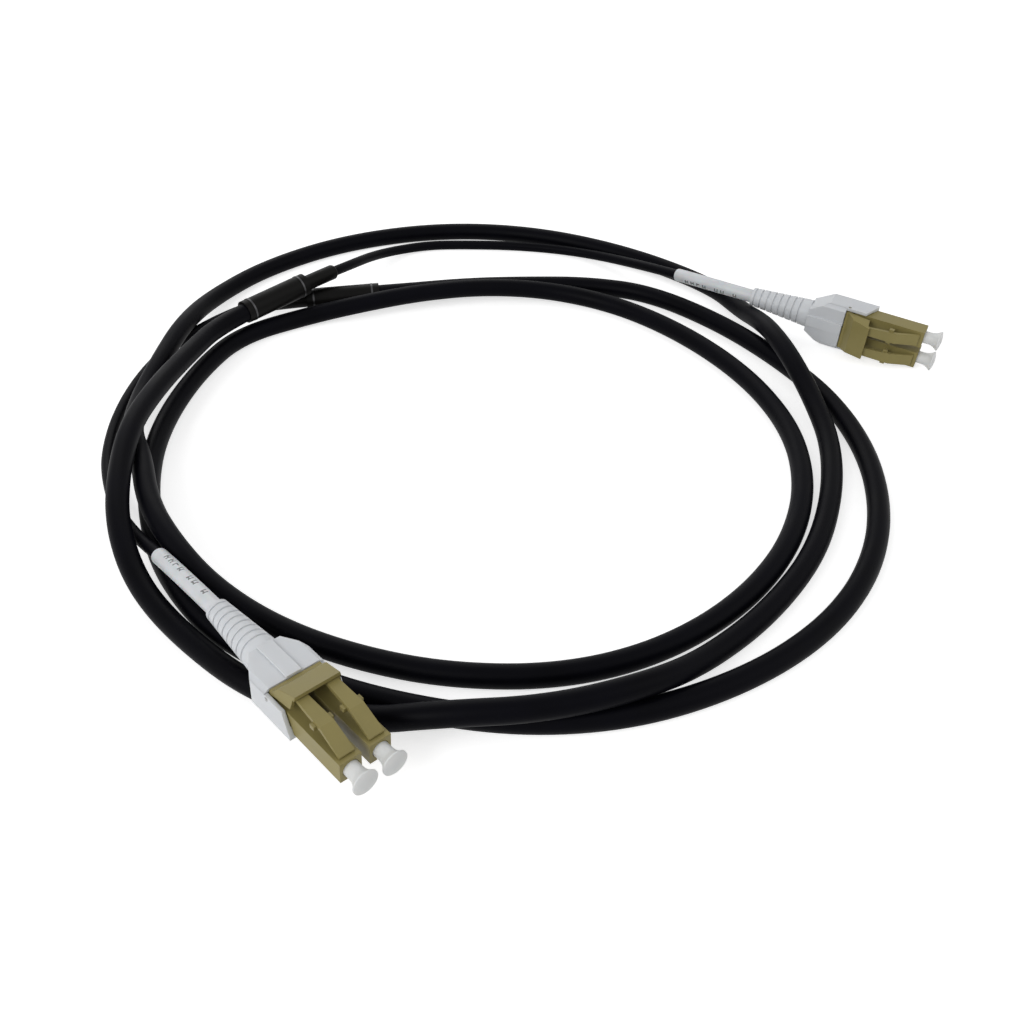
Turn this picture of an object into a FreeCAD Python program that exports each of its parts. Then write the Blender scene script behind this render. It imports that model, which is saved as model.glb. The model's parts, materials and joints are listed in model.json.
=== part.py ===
import FreeCAD, Part
import math
import os
import Sketcher

# Duplex fibre patch lead, millimetres, +Z up, standing on z = 0.
# Two duplex plugs, each with its two springy ferrules, latches, squeeze trigger,
# shell, boot and label sleeve, on thin leads that leave a looped trunk cable
# through two breakout tubes.  The origin lies under the middle of the plugs' box.
#
# Each plug is drawn in a frame of its own: origin on the nose plane midway
# between its two ferrules, +X forward out of the nose, +Z to the latch side.

ROWS = [
    # where the two plugs and the loops lie
    ("end_a_east", 81.37), ("end_a_north", 60.44), ("end_a_height", 5.972),
    ("end_a_turn", -28.0), ("end_a_dip", 3.6), ("end_a_lean", 91.0),
    ("end_b_east", -52.46), ("end_b_north", -77.82), ("end_b_height", 8.7),
    ("end_b_turn", -47.15), ("end_b_dip", 1.5), ("end_b_lean", -3.0),
    ("loops_east", -34.63), ("loops_north", 22.49),
    # plug body
    ("plug_pitch", 6.25), ("plug_width", 4.52), ("plug_length", 18.5),
    ("spigot_width", 3.8), ("spigot_length", 4.5),
    ("recess_width", 3.4), ("recess_depth", 2.6), ("nose_bore", 2.8),
    ("chamber_width", 3.3), ("chamber_start", 5.8),
    # latch arm
    ("latch_hinge_x", 1.3), ("latch_hinge_size", 0.68), ("latch_gap", 0.03),
    ("latch_crease_x", 6.5), ("latch_crease_z", 5.4), ("latch_tail_x", 14.7),
    ("latch_tail_z", 6.0), ("latch_thickness", 0.85), ("latch_front_width", 3.2),
    ("latch_crease_width", 3.0), ("latch_tail_width", 2.2), ("latch_nub_x", 7.4),
    ("latch_nub_length", 1.2), ("latch_nub_width", 4.2), ("latch_nub_top", 5.1),
    ("latch_nub_low", 4.2),
    # squeeze trigger
    ("trigger_width", 10.8), ("trigger_top_width", 9.5), ("trigger_flare", 0.21),
    ("trigger_rear_x", 20.7), ("trigger_rear_z", 2.75), ("trigger_rear_thickness", 0.7),
    ("trigger_heel", 1.05),
    ("trigger_bend_x", 18.1), ("trigger_bend_z", 5.5), ("trigger_lip_x", 13.4),
    ("trigger_lip_z", 7.1), ("trigger_lip_thickness", 0.85), ("lip_reach", 1.6),
    ("lip_gap", 0.1), ("web_inner_width", 9.0), ("web_foot", 0.4), ("web_front_z", 3.9),
    ("web_set_back", 0.4), ("pivot_x", 20.3), ("pivot_z", 2.0), ("pivot_size", 0.8),
    ("pivot_reach", 0.75),
    # shell
    ("shell_side_gap", 0.215), ("shell_front", 13.5), ("shell_front_slope", 2.1),
    ("shell_shoulder", 25.6), ("shell_rear", 30.5), ("shell_rear_width", 6.8), ("shell_floor", 2.95),
    ("shell_rim", 2.7), ("shell_wall", 0.8), ("shell_floor_wall", 0.6),
    ("cover_front", 20.9), ("cover_top", 3.6), ("cover_bevel", 1.0), ("cover_ridge", 4.0),
    ("cover_rim", 0.1),
    ("ridge_width", 3.2), ("lip_depth", 0.3), ("lip_set_back", 0.5),
    # boot and crimp ring
    ("boot_length", 16.7), ("boot_width", 7.6), ("boot_tip_width", 4.9),
    ("rib_start", 2.5), ("rib_pitch", 1.85), ("rib_slot", 0.45), ("rib_depth", 0.3),
    ("rib_tip_land", 0.6),
    ("ring_front", 28.85), ("ring_length", 7.5), ("ring_width", 4.2),
    ("ring_flange", 4.6), ("ring_flange_length", 0.8),
    # ferrule train
    ("ferrule_width", 1.25), ("ferrule_set_back", 0.2), ("ferrule_length", 7.3),
    ("ferrule_bevel", 0.15), ("holder_width", 2.6), ("holder_start", 5.9),
    ("holder_length", 3.0), ("holder_bore", 0.9), ("spring_width", 2.4),
    ("spring_wire", 0.35), ("spring_turns", 6), ("spring_length", 6.0),
    ("stop_bore", 1.0), ("stop_flange", 0.6), ("fibre_width", 0.6),
    ("fibre_spread", 1.3), ("fibre_bend_gap", 1.0), ("fibre_merge_gap", 0.35),
    ("fibre_end_gap", 0.8),
    # dust cap
    ("cap_depth", 2.4), ("cap_width", 3.2), ("cap_neck", 1.4), ("cap_disc_width", 5.2),
    ("cap_disc_x", 4.1), ("cap_dome", 0.5), ("cap_hole", 2.0),
    ("cap_flare", 3.2), ("cap_rim", 0.3),
    # cords and what is on them
    ("trunk_width", 5.0), ("lead_width", 2.8), ("lead_start", 34.0),
    ("label_width", 3.5), ("label_corner", 60.0), ("sleeve_width", 4.2),
    ("tube_width", 6.2), ("tube_trunk_depth", 8.0), ("tube_lead_depth", 4.0),
    ("band_width", 6.4), ("band_length", 0.5), ("band_set_back", 1.8),
    ("band_seat", 5.9),
    # clearances
    ("free_fit", 0.1), ("slide_fit", 0.05),
]

# Routes of the cords about the loops' middle.  Trunk: (degrees round, radius, height).
TRUNK_ROUTE = [
    # first loop, from breakout tube A: rides over the others on the left side
    (160, 81.4, 9.8), (173, 80.2, 11.8), (186, 81.6, 13.1), (197, 83.6, 11.2), (207, 86.2, 8.8),
    (217, 87.6, 4.6), (228, 87.6, 2.5), (243, 89.9, 2.5), (256.5, 90.0, 2.9), (266, 89.8, 7.4),
    (279, 89.9, 8.0), (292, 88.6, 7.4), (302, 85.0, 3.2), (315, 83.4, 2.5), (330, 83.0, 2.5),
    (345, 82.8, 2.5), (359, 84.1, 2.5), (370, 84.2, 4.4), (380, 84.5, 8.1), (388, 86.6, 8.9),
    (394.5, 91.0, 6.3), (401, 96.6, 2.5), (410, 102.6, 2.5), (427, 107.8, 2.5), (443, 113.5, 2.5),
    (458, 116.5, 2.5), (473, 115.9, 2.5), (487, 112.3, 2.5), (499, 105.8, 3.2),
    # second loop: over lead B, under the first loop, then over the third
    (509, 97.2, 6.0), (519, 91.0, 5.9), (530, 88.4, 3.9), (540, 84.8, 5.4), (550, 79.4, 8.1),
    (562, 78.7, 7.9), (573, 77.6, 7.2), (584, 76.3, 4.2), (597, 75.0, 2.5), (611, 75.0, 2.5),
    (626, 76.2, 2.5), (642, 78.0, 2.5), (657, 78.6, 2.5), (673, 78.1, 2.5), (689, 77.5, 2.5),
    (705, 76.8, 2.5), (721, 76.0, 2.5), (737, 74.6, 2.5), (753, 73.9, 2.5), (769, 74.8, 2.5),
    (783, 76.5, 2.5), (797, 76.0, 3.4), (811, 72.6, 5.2), (825, 71.6, 5.3), (838, 72.8, 4.7),
    (850, 79.0, 2.5),
    # third loop: flat on the floor, to breakout tube B
    (864, 84.4, 2.5), (877, 82.0, 2.5), (892, 80.0, 2.5), (906, 79.2, 2.5), (921, 79.3, 2.5),
    (936, 81.1, 2.5), (951, 82.9, 2.5), (966, 83.2, 2.5), (981, 84.9, 2.5), (997, 88.6, 2.5),
    (1012, 91.5, 2.5), (1028, 93.6, 2.5), (1043, 95.0, 2.5), (1058, 94.6, 2.5), (1074, 92.8, 2.5),
    (1090, 90.4, 2.5), (1105, 87.3, 2.5), (1121, 86.6, 2.5), (1137, 87.5, 2.5), (1149, 84.1, 2.5),
    (1161, 79.8, 2.5), (1174, 78.0, 2.6),
]
# Breakout tubes (trunk end, lead end) and leads: (east, north, height) from the loops' middle.
TUBE_ROUTE = {
    "a": [(-66.4, 51.7, 8.6), (-51.9, 66.2, 9.4)],
    "b": [(-31.7, 71.9, 3.3), (-52.3, 68.4, 3.3)],
}
LEAD_ROUTE = {
    "a": [(-40.6, 80.8, 8.0), (-35.8, 92.6, 4.8), (-29.2, 101.8, 2.2), (-19.0, 106.9, 1.4),
          (-7.0, 107.2, 1.4), (7.0, 106.6, 1.4), (21.0, 104.2, 1.4), (33.5, 98.4, 2.2),
          (46.5, 85.2, 5.4)],
    "b": [(-69.6, 66.4, 1.9), (-76.8, 59.6, 1.6), (-83.2, 51.4, 1.4), (-88.0, 41.6, 1.4),
          (-91.0, 30.0, 1.4), (-92.2, 16.0, 1.4), (-91.4, 2.0, 1.4), (-88.4, -12.0, 1.4),
          (-79.0, -32.0, 3.3)],
}
TRUNK_EXIT = 8.0    # straight stretch of trunk outside a breakout tube
LEAD_EXIT = 6.0     # straight stretch of lead outside a breakout tube
ARC_SHARE = 0.45    # share of the shorter run that an arc takes up


# --- the sheet and sizes bound to it ------------------------------------------------

doc = FreeCAD.newDocument("patch_lead")
sheet = doc.addObject("Spreadsheet::Sheet", "sizes")
for line, (alias, number) in enumerate(ROWS, start=1):
    sheet.set("A%d" % line, alias)
    sheet.set("B%d" % line, str(number))
    sheet.setAlias("B%d" % line, alias)
doc.recompute()


class Size:
    """A length together with the spreadsheet expression that gives it."""

    def __init__(self, value, text):
        self.value = float(value)
        self.text = text

    def joined(self, other, sign, value):
        return Size(value, "(%s %s %s)" % (self.text, sign, other.text))

    def __add__(self, other):
        other = as_size(other)
        return self.joined(other, "+", self.value + other.value)

    def __sub__(self, other):
        other = as_size(other)
        return self.joined(other, "-", self.value - other.value)

    def __mul__(self, other):
        other = as_size(other)
        return self.joined(other, "*", self.value * other.value)

    def __truediv__(self, other):
        other = as_size(other)
        return self.joined(other, "/", self.value / other.value)

    def __neg__(self):
        return as_size(0) - self


def as_size(thing):
    if isinstance(thing, Size):
        return thing
    return Size(thing, str(float(thing)))


class Sizes:
    """Every row of the sheet as an attribute."""


S = Sizes()
for alias, number in ROWS:
    setattr(S, alias, Size(getattr(sheet, alias), "sizes." + alias))


# --- sketches and features ------------------------------------------------------------

PLANES = {"x": "YZ_Plane", "y": "XZ_Plane", "z": "XY_Plane"}
RIGHT = -1              # an arc bulges to the right of its chord, the other way is 1
PAST = 1.0              # how far a cutting shape reaches past the piece that it cuts
DOME_STEPS = 5          # cones that make up the dome of a dust cap


def origin_feature(body, role):
    for feature in body.Origin.OriginFeatures:
        if feature.Role == role:
            return feature
    raise ValueError(role)


def arc_between(start, end, radius, side):
    """Arc from start to end of the given radius, bulging to the left (side 1) or right (-1)."""
    chord = end - start
    half = chord.Length / 2
    rise = radius - math.sqrt(max(radius ** 2 - half ** 2, 0.0))
    normal = FreeCAD.Vector(-chord.y, chord.x, 0).normalize()
    return Part.Arc(start, (start + end) * 0.5 + normal * (rise * side), end)


def pin_point(sketch, geometry, point, place):
    """Tie one point of the sketch to its place with bound distances from the origin."""
    for kind, size in zip(("DistanceX", "DistanceY"), place):
        number = sketch.addConstraint(
            Sketcher.Constraint(kind, -1, 1, geometry, point, size.value))
        sketch.setExpression("Constraints[%d]" % number, size.text)


def draw_outline(sketch, outline):
    """Closed outline of (across, up) corners; a corner may add (radius, side) of an arc."""
    corners = [(as_size(corner[0]), as_size(corner[1])) for corner in outline]
    spots = [FreeCAD.Vector(across.value, up.value, 0) for across, up in corners]
    ends = []
    for index, corner in enumerate(outline):
        start = spots[index]
        end = spots[(index + 1) % len(spots)]
        if len(corner) == 4:
            radius = as_size(corner[2])
            arc = arc_between(start, end, radius.value, corner[3])
            number = sketch.addGeometry(arc)
            drawn = sketch.Geometry[number]
            forward = (drawn.StartPoint - start).Length < (drawn.EndPoint - start).Length
            ends.append((number, 1, 2) if forward else (number, 2, 1))
            curve = sketch.addConstraint(Sketcher.Constraint("Radius", number, radius.value))
            sketch.setExpression("Constraints[%d]" % curve, radius.text)
        else:
            number = sketch.addGeometry(Part.LineSegment(start, end))
            ends.append((number, 1, 2))
    for index, (number, first, last) in enumerate(ends):
        following = ends[(index + 1) % len(ends)]
        sketch.addConstraint(
            Sketcher.Constraint("Coincident", number, last, following[0], following[1]))
        pin_point(sketch, number, first, corners[index])


def draw_circle(sketch, across, up, width):
    """Circle of the given width about (across, up)."""
    across, up, radius = as_size(across), as_size(up), as_size(width) / 2
    centre = FreeCAD.Vector(across.value, up.value, 0)
    number = sketch.addGeometry(Part.Circle(centre, FreeCAD.Vector(0, 0, 1), radius.value))
    pin_point(sketch, number, 3, (across, up))
    curve = sketch.addConstraint(Sketcher.Constraint("Radius", number, radius.value))
    sketch.setExpression("Constraints[%d]" % curve, radius.text)


def new_body(label):
    body = doc.addObject("PartDesign::Body", label)
    body.Label = label
    return body


def new_sketch(body, axis, shapes, offset=0):
    """Sketch across the given axis; a shape is an outline or a (across, up, width) circle."""
    sketch = body.newObject("Sketcher::SketchObject", "outline")
    sketch.AttachmentSupport = [(origin_feature(body, PLANES[axis]), "")]
    sketch.MapMode = "FlatFace"
    shift = as_size(offset)
    if axis == "y":
        shift = -shift      # the XZ plane faces -Y
    sketch.AttachmentOffset = FreeCAD.Placement(
        FreeCAD.Vector(0, 0, shift.value), FreeCAD.Rotation())
    sketch.setExpression("AttachmentOffset.Base.z", shift.text)
    for shape in shapes:
        if isinstance(shape, tuple):
            draw_circle(sketch, *shape)
        else:
            draw_outline(sketch, shape)
    return sketch


def extrude(body, kind, axis, shapes, low, high):
    """Pad or pocket of the shapes from low to high along the axis."""
    low, high = as_size(low), as_size(high)
    faces_down = axis == "y"
    cuts = kind == "Pocket"
    start = high if faces_down != cuts else low
    sketch = new_sketch(body, axis, shapes, start)
    before = body.Shape.Volume if body.Tip else 0.0
    feature = body.newObject("PartDesign::" + kind, kind.lower())
    feature.Profile = sketch
    feature.setExpression("Length", (high - low).text)
    doc.recompute()
    check_change(body, before, cuts)
    return feature


def turn(body, kind, outline):
    """Revolution or groove of an (x, radius) outline about the X axis."""
    sketch = new_sketch(body, "y", [outline])
    before = body.Shape.Volume if body.Tip else 0.0
    feature = body.newObject("PartDesign::" + kind, kind.lower())
    feature.Profile = sketch
    feature.ReferenceAxis = (origin_feature(body, "X_Axis"), [""])
    feature.Angle = 360
    doc.recompute()
    check_change(body, before, kind == "Groove")
    return feature


def check_change(body, before, cuts):
    """A cut has to take something away, and anything else has to add something."""
    change = body.Shape.Volume - before
    if (change >= 0) == cuts:
        raise RuntimeError("%s: a feature changed the volume by %.3f" % (body.Label, change))


def rectangle(low_across, high_across, low_up, high_up):
    return [(low_across, low_up), (high_across, low_up),
            (high_across, high_up), (low_across, high_up)]


def mirrored(half):
    """Closed plan outline from its +Y half, listed from front to back."""
    return list(half) + [(x, -as_size(y)) for x, y in reversed(half)]


def trim_to_plan(body, half, low, high):
    """Cut away all that lies outside the plan outline."""
    front = as_size(half[0][0]) + PAST
    back = as_size(half[-1][0]) - PAST
    side = shell_width()
    frame = rectangle(back, front, -side, side)
    extrude(body, "Pocket", "z", [frame, mirrored(half)], low, high)


# --- places -------------------------------------------------------------------------------

def plain(name):
    return getattr(S, name).value


def plug_place(end, across=0.0):
    """Place of a plug's frame, moved sideways by `across` within the plug."""
    values = [plain("end_%s_%s" % (end, word))
              for word in ("east", "north", "height", "turn", "dip", "lean")]
    frame = FreeCAD.Placement(FreeCAD.Vector(*values[:3]), FreeCAD.Rotation(*values[3:]))
    return frame * FreeCAD.Placement(FreeCAD.Vector(0, across, 0), FreeCAD.Rotation())


def side_place(end, side):
    return plug_place(end, side * plain("plug_pitch") / 2)


def from_loops(spot):
    return FreeCAD.Vector(plain("loops_east") + spot[0], plain("loops_north") + spot[1], spot[2])


def round_loops(angle, radius, height):
    turned = math.radians(angle)
    return from_loops((radius * math.cos(turned), radius * math.sin(turned), height))


# --- pieces of one plug ---------------------------------------------------------------

def make_housing(label, place):
    """Square plug body with the stepped bore that the ferrule train runs in."""
    body = new_body(label)
    half = S.plug_width / 2
    end = S.plug_length + S.spigot_length
    extrude(body, "Pad", "x", [rectangle(-half, half, -half, half)], -S.plug_length, 0)
    extrude(body, "Pad", "x", [(0, 0, S.spigot_width)], -end, -S.plug_length)
    turn(body, "Groove", [
        (PAST, 0), (PAST, S.recess_width / 2), (-S.recess_depth, S.recess_width / 2),
        (-S.recess_depth, S.nose_bore / 2), (-S.chamber_start, S.nose_bore / 2),
        (-S.chamber_start, S.chamber_width / 2), (-end - PAST, S.chamber_width / 2),
        (-end - PAST, 0)])
    body.Placement = place
    return body


def latch_hinge_height():
    return S.plug_width / 2 + S.latch_gap + S.latch_hinge_size / 2


def make_latch(label, place):
    """Springy arm with a round root, a crease, a locking nub on each side, and a tail."""
    body = new_body(label)
    root = S.latch_hinge_size / 2
    root_z = latch_hinge_height()
    front = S.latch_front_width / 2
    upper = root * 0.7                  # the arm's edges start on the round root
    lower, behind = root * 0.6, root * 0.8
    extrude(body, "Pad", "y", [(-S.latch_hinge_x, root_z, S.latch_hinge_size)], -front, front)
    arm = [
        (-S.latch_hinge_x + upper, root_z + upper),
        (-S.latch_crease_x, S.latch_crease_z), (-S.latch_tail_x, S.latch_tail_z),
        (-S.latch_tail_x, S.latch_tail_z - S.latch_thickness),
        (-S.latch_crease_x, S.latch_crease_z - S.latch_thickness),
        (-S.latch_hinge_x - behind, root_z - lower)]
    extrude(body, "Pad", "y", [arm], -front, front)
    trim_to_plan(body, [
        (0, front), (-S.latch_hinge_x, front), (-S.latch_crease_x, S.latch_crease_width / 2),
        (-S.latch_tail_x, S.latch_tail_width / 2),
        (-S.latch_tail_x - PAST, S.latch_tail_width / 2)], 0, S.latch_tail_z + PAST)
    nub = rectangle(-S.latch_nub_x - S.latch_nub_length, -S.latch_nub_x,
                    S.latch_nub_low, S.latch_nub_top)
    extrude(body, "Pad", "y", [nub], -S.latch_nub_width / 2, S.latch_nub_width / 2)
    body.Placement = place
    return body


def make_trigger(label, place):
    """Squeeze plate that rises to a lip over both latch tails, on flaring webs with pins."""
    body = new_body(label)
    half = S.trigger_width / 2
    rear, foot_z = -S.trigger_rear_x, S.trigger_rear_z
    bend, bend_z = -S.trigger_bend_x, S.trigger_bend_z
    lip, lip_z = -S.trigger_lip_x, S.trigger_lip_z
    thick = S.trigger_rear_thickness
    seat = S.latch_tail_z + S.lip_gap
    plate = [
        (rear, foot_z), (rear + S.trigger_heel, foot_z), (bend + thick, bend_z - thick),
        (lip - S.lip_reach - thick, seat - thick / 2), (lip - S.lip_reach, seat),
        (lip, lip_z - S.trigger_lip_thickness), (lip, lip_z), (bend, bend_z),
        (rear + thick, foot_z + thick), (rear, foot_z + thick)]
    extrude(body, "Pad", "y", [plate], -half, half)
    web_front = lip - S.web_set_back
    web = [
        (-S.pivot_x - S.web_foot, S.pivot_z - S.web_foot),
        (-S.pivot_x + S.web_foot, S.pivot_z - S.web_foot),
        (-S.pivot_x + S.web_foot * 2, foot_z), (web_front - S.web_set_back, S.web_front_z),
        (web_front, lip_z - S.trigger_lip_thickness / 2), (bend, bend_z - thick / 2),
        (rear + thick, foot_z + thick / 2), (rear, foot_z + thick / 2)]
    inner = S.web_inner_width / 2
    for low, high in ((inner, half), (-half, -inner)):
        extrude(body, "Pad", "y", [web], low, high)
    top = S.trigger_top_width / 2
    outside = half + PAST
    corner = (outside - top) / S.trigger_flare
    for side in (as_size(1), as_size(-1)):
        flank = [(side * top, lip_z), (side * outside, lip_z),
                 (side * outside, lip_z - corner)]
        extrude(body, "Pocket", "x", [flank], rear - PAST, lip + PAST)
    pin = (-S.pivot_x, S.pivot_z, S.pivot_size)
    outer = half + S.pivot_reach
    for low, high in ((inner, outer), (-outer, -inner)):
        extrude(body, "Pad", "y", [pin], low, high)
    body.Placement = place
    return body


def shell_width():
    """The two plug bodies side by side, with a gap and a wall outside each."""
    return S.plug_pitch + S.plug_width + (S.shell_side_gap + S.shell_wall) * 2


def shell_plan(inset):
    """+Y half of the shell's plan, set in by the given wall."""
    shoulder = inset * 0.3      # keeps the wall about even round the shoulder
    rear = inset * 0.6          # and at the narrow rear end
    return [
        (-S.shell_front - inset, shell_width() / 2 - inset),
        (-S.shell_shoulder + shoulder, shell_width() / 2 - inset),
        (-S.shell_rear + inset, S.shell_rear_width / 2 - rear)]


def make_shell_lower(label, place):
    """Open tray: two slots for the plug bodies, a rear hole for the crimp ring, pin holes."""
    body = new_body(label)
    extrude(body, "Pad", "z", [mirrored(shell_plan(as_size(0)))], -S.shell_floor, S.shell_rim)
    floor_top = -S.shell_floor + S.shell_floor_wall
    extrude(body, "Pocket", "z", [mirrored(shell_plan(S.shell_wall))], floor_top, S.shell_rim)
    half = S.plug_width / 2 + S.slide_fit
    middle = S.plug_pitch / 2
    slots = [rectangle(side * middle - half, side * middle + half, floor_top, S.shell_rim + PAST)
             for side in (as_size(1), as_size(-1))]
    front_wall = -S.shell_front - S.shell_wall - S.free_fit
    extrude(body, "Pocket", "x", slots, front_wall, -S.shell_front + PAST)
    hole = S.ring_width + S.free_fit
    rear_wall = -S.shell_rear + S.shell_wall + S.free_fit
    extrude(body, "Pocket", "x", [(0, 0, hole)], -S.shell_rear - PAST, rear_wall)
    front_cut = [(-S.shell_front + PAST, floor_top), (-S.shell_front, floor_top),
                 (-S.shell_front - S.shell_front_slope, S.shell_rim),
                 (-S.shell_front + PAST, S.shell_rim)]
    outside = shell_width() / 2 + PAST
    extrude(body, "Pocket", "y", [front_cut], -outside, outside)
    pin_hole = (-S.pivot_x, S.pivot_z, S.pivot_size + S.free_fit)
    extrude(body, "Pocket", "y", [pin_hole], -outside, outside)
    body.Placement = place
    return body


def make_shell_cover(label, place):
    """Bevelled cover with a raised middle ridge and a locating lip."""
    body = new_body(label)
    side = shell_width() / 2
    ridge = S.ridge_width / 2
    edge = S.shell_rim + S.cover_rim
    profile = [
        (-side, S.shell_rim), (side, S.shell_rim), (side, edge),
        (side - S.cover_bevel, S.cover_top), (ridge, S.cover_top), (ridge, S.cover_ridge),
        (-ridge, S.cover_ridge), (-ridge, S.cover_top), (-side + S.cover_bevel, S.cover_top),
        (-side, edge)]
    extrude(body, "Pad", "x", [profile], -S.shell_rear, -S.cover_front)
    plan = shell_plan(as_size(0))
    plan[0] = (-S.cover_front + PAST, plan[0][1])
    plan.append((-S.shell_rear - PAST, S.shell_rear_width / 2))
    trim_to_plan(body, plan, S.shell_rim - PAST, S.cover_ridge + PAST)
    lip = shell_plan(S.shell_wall + S.free_fit)
    lip[0] = (-S.cover_front - S.lip_set_back, lip[0][1])
    extrude(body, "Pad", "z", [mirrored(lip)], S.shell_rim - S.lip_depth, S.shell_rim)
    body.Placement = place
    return body


def make_boot(label, place):
    """Tapered boot with bend-relief slots round most of its length."""
    body = new_body(label)
    slope = (S.boot_width - S.boot_tip_width) / 2 / S.boot_length

    def surface(along, depth=0):
        return (-S.shell_rear - along, S.boot_width / 2 - slope * along - depth)

    ribbed = plain("boot_length") - plain("rib_start") - plain("rib_slot") - plain("rib_tip_land")
    outline = [surface(as_size(0))]
    for index in range(int(ribbed / plain("rib_pitch")) + 1):
        start = S.rib_start + S.rib_pitch * index
        end = start + S.rib_slot
        outline += [surface(start), surface(start, S.rib_depth),
                    surface(end, S.rib_depth), surface(end)]
    lead_bore = S.lead_width / 2 + S.slide_fit
    ring_bore = S.ring_width / 2 + S.slide_fit
    ring_end = -S.ring_front - S.ring_length - S.free_fit
    outline += [
        surface(S.boot_length), (-S.shell_rear - S.boot_length, lead_bore),
        (ring_end, lead_bore), (ring_end, ring_bore), (-S.shell_rear, ring_bore)]
    turn(body, "Revolution", outline)
    body.Placement = place
    return body


def make_crimp_ring(label, place):
    body = new_body(label)
    bore = S.lead_width / 2 + S.slide_fit
    front = -S.ring_front
    step = front - S.ring_flange_length
    turn(body, "Revolution", [
        (front, bore), (front, S.ring_flange / 2), (step, S.ring_flange / 2),
        (step, S.ring_width / 2), (front - S.ring_length, S.ring_width / 2),
        (front - S.ring_length, bore)])
    body.Placement = place
    return body


def make_ferrule(label, place):
    body = new_body(label)
    tip = -S.ferrule_set_back
    radius = S.ferrule_width / 2
    turn(body, "Revolution", [
        (tip - S.ferrule_length, 0), (tip - S.ferrule_length, radius),
        (tip - S.ferrule_bevel, radius), (tip, radius - S.ferrule_bevel), (tip, 0)])
    body.Placement = place
    return body


def make_holder(label, place):
    """Flanged holder pressed on the ferrule's rear, with a bore for the fibre."""
    body = new_body(label)
    front = -S.holder_start
    back = front - S.holder_length
    seat = -S.ferrule_set_back - S.ferrule_length
    turn(body, "Revolution", [
        (front, S.ferrule_width / 2), (front, S.holder_width / 2), (back, S.holder_width / 2),
        (back, S.holder_bore / 2), (seat, S.holder_bore / 2), (seat, S.ferrule_width / 2)])
    body.Placement = place
    return body


def spring_front():
    return -S.holder_start - S.holder_length


def make_spring(label, place):
    """Coil spring between the holder and the stop: a circle swept along a helix."""
    coil = doc.addObject("Part::Helix", "coil")
    height = S.spring_length - S.spring_wire
    coil.setExpression("Height", height.text)
    coil.setExpression("Pitch", (height / S.spring_turns).text)
    coil.setExpression("Radius", (S.spring_width / 2).text)
    wire = doc.addObject("Part::Circle", "wire")
    wire.setExpression("Radius", (S.spring_wire / 2).text)
    wire.Placement = FreeCAD.Placement(
        FreeCAD.Vector(S.spring_width.value / 2, 0, 0),
        FreeCAD.Rotation(FreeCAD.Vector(1, 0, 0), 90))
    spring = doc.addObject("Part::Sweep", label)
    spring.Label = label
    spring.Sections = [wire]
    spring.Spine = (coil, ["Edge1"])
    spring.Solid = True
    spring.Frenet = True
    back = (spring_front() - S.spring_length + S.spring_wire / 2).value
    along = FreeCAD.Placement(
        FreeCAD.Vector(back, 0, 0), FreeCAD.Rotation(FreeCAD.Vector(0, 1, 0), 90))
    doc.recompute()
    spring.Placement = place * along
    return spring


def make_stop(label, place):
    """Rear stop that the spring pushes against, with a flange behind the spigot."""
    body = new_body(label)
    front = spring_front() - S.spring_length
    end = -S.plug_length - S.spigot_length
    barrel = S.chamber_width / 2 - S.slide_fit
    turn(body, "Revolution", [
        (front, S.stop_bore / 2), (front, barrel), (end, barrel), (end, S.spigot_width / 2),
        (end - S.stop_flange, S.spigot_width / 2), (end - S.stop_flange, S.stop_bore / 2)])
    body.Placement = place
    return body


def make_dust_cap(label, place):
    """Plug-in cap: a sleeve over the ferrule, a flared neck and a domed disc."""
    body = new_body(label)
    neck = S.cap_width / 2
    rim = S.cap_disc_width / 2
    disc = S.cap_disc_x
    bore = S.ferrule_width / 2 + S.slide_fit / 2
    shares = [step / DOME_STEPS for step in reversed(range(DOME_STEPS))]
    crown = [(disc + S.cap_dome * (1 - share ** 2), rim * share) for share in shares]
    turn(body, "Revolution", [
        (-S.cap_depth, bore), (-S.cap_depth, neck), (S.cap_neck, neck, S.cap_flare, RIGHT),
        (disc - S.cap_rim, rim), (disc, rim)] + crown + [(S.cap_hole, 0), (S.cap_hole, bore)])
    body.Placement = place
    return body


# --- cords ------------------------------------------------------------------------------

def cord_edges(points):
    """Straight runs joined by tangent arcs, and the arcs' radii."""
    edges, radii = [], []
    runs = [b - a for a, b in zip(points, points[1:])]
    place = points[0]
    for corner, before, after in zip(points[1:], runs, runs[1:]):
        reach = ARC_SHARE * min(before.Length, after.Length)
        into, out = FreeCAD.Vector(before).normalize(), FreeCAD.Vector(after).normalize()
        turned = into.getAngle(out)
        radius = reach / math.tan(turned / 2)
        start, end = corner - into * reach, corner + out * reach
        inward = (out - into).normalize()
        middle = corner + inward * (radius / math.cos(turned / 2) - radius)
        edges.append(Part.LineSegment(place, start).toShape())
        edges.append(Part.Arc(start, middle, end).toShape())
        radii.append(radius)
        place = end
    edges.append(Part.LineSegment(place, points[-1]).toShape())
    return edges, radii


def tube_along(edges, width):
    """Round rod of the given width swept along the edges."""
    path = Part.Wire(edges)
    start = edges[0].valueAt(edges[0].FirstParameter)
    direction = edges[0].tangentAt(edges[0].FirstParameter)
    circle = Part.Wire([Part.Circle(start, direction, width / 2).toShape()])
    rod = path.makePipeShell([circle], True, False)
    expected = math.pi * (width / 2) ** 2 * path.Length
    if abs(rod.Volume - expected) > 0.01 * expected:
        raise RuntimeError("a swept rod has volume %.1f, not %.1f" % (rod.Volume, expected))
    return rod


def add_shape(label, shape):
    feature = doc.addObject("Part::Feature", label)
    feature.Label = label
    feature.Shape = shape
    return feature


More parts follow.
